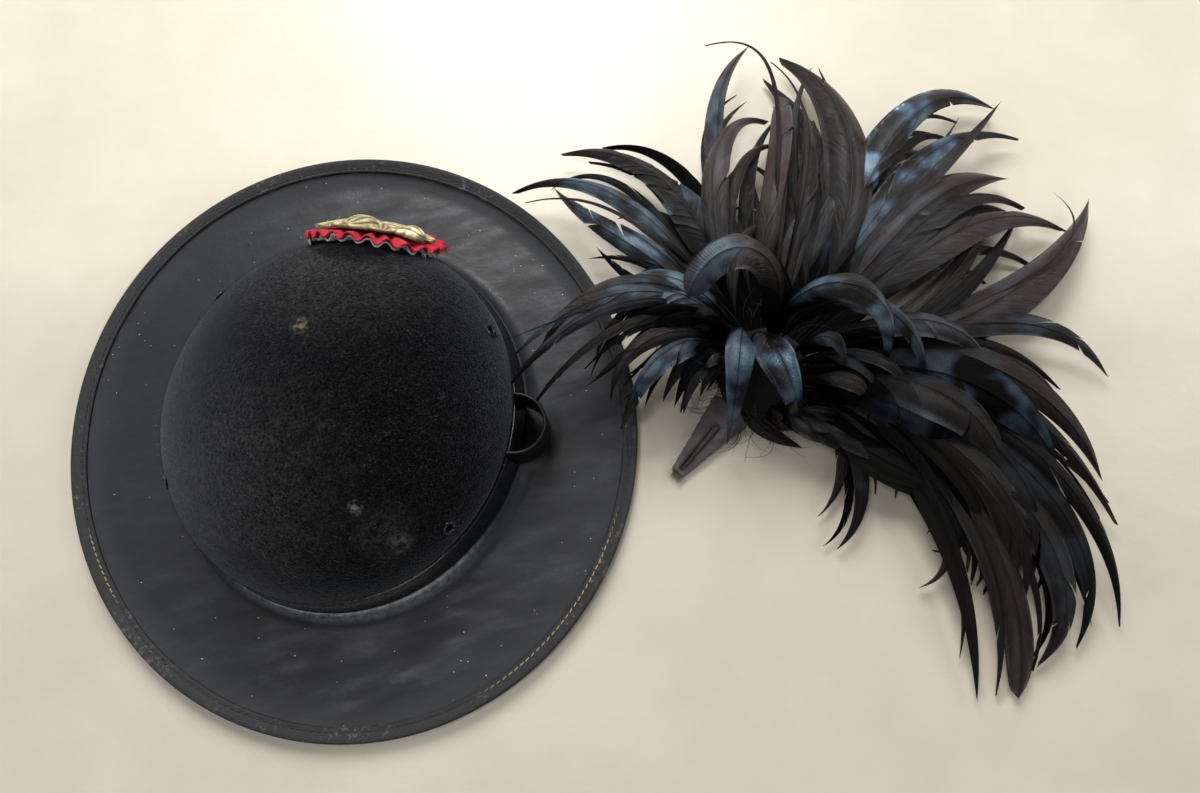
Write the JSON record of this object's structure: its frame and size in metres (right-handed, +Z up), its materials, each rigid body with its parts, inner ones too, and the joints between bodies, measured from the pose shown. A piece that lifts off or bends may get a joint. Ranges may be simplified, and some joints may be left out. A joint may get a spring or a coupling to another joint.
{
  "type": "plumed military hat",
  "caption": "Round black felt hat with a wide leather brim, patent band, pleated cockade and plume pocket, its dark feather plume laid beside it.",
  "frame": {"origin": "on the table, at the middle of the footprint of the hat and the plume beside it", "axes": "+X from the hat towards the plume, +Y towards the cockade at the hat's front, +Z up; the hat's front is turned 9 degrees from +Y towards +X"},
  "size_m": [0.568, 0.3936, 0.0894],
  "materials": {
    "brim_leather": "worn, soft sheen",
    "binding_leather": "scuffed, stitched",
    "felt": "fuzzy, with lint",
    "patent_leather": "glossy",
    "eyelet_metal": "black, worn at the rim",
    "red_ribbon": "ribbed silk, frayed",
    "white_ribbon": "ribbed silk, greyed",
    "gilt": "stamped, dulled gilt",
    "feather": "black with a blue sheen",
    "stem_cloth": "matt wrapped cloth",
    "wire": "dark, rust-brown at its ends"
  },
  "bodies": {
    "root": {"brim": "brim_leather", "brim_binding": "binding_leather", "crown": "felt", "hat_band": "patent_leather", "eyelet_right_front": "eyelet_metal", "eyelet_right_back": "eyelet_metal", "eyelet_left_front": "eyelet_metal", "eyelet_left_back": "eyelet_metal", "plume_pocket": "patent_leather", "cockade_red": "red_ribbon", "cockade_white": "white_ribbon", "gilt_spray": "gilt", "plume": "feather", "plume_stem": "stem_cloth", "hairpin": "wire"}
  },
  "joints": []
}
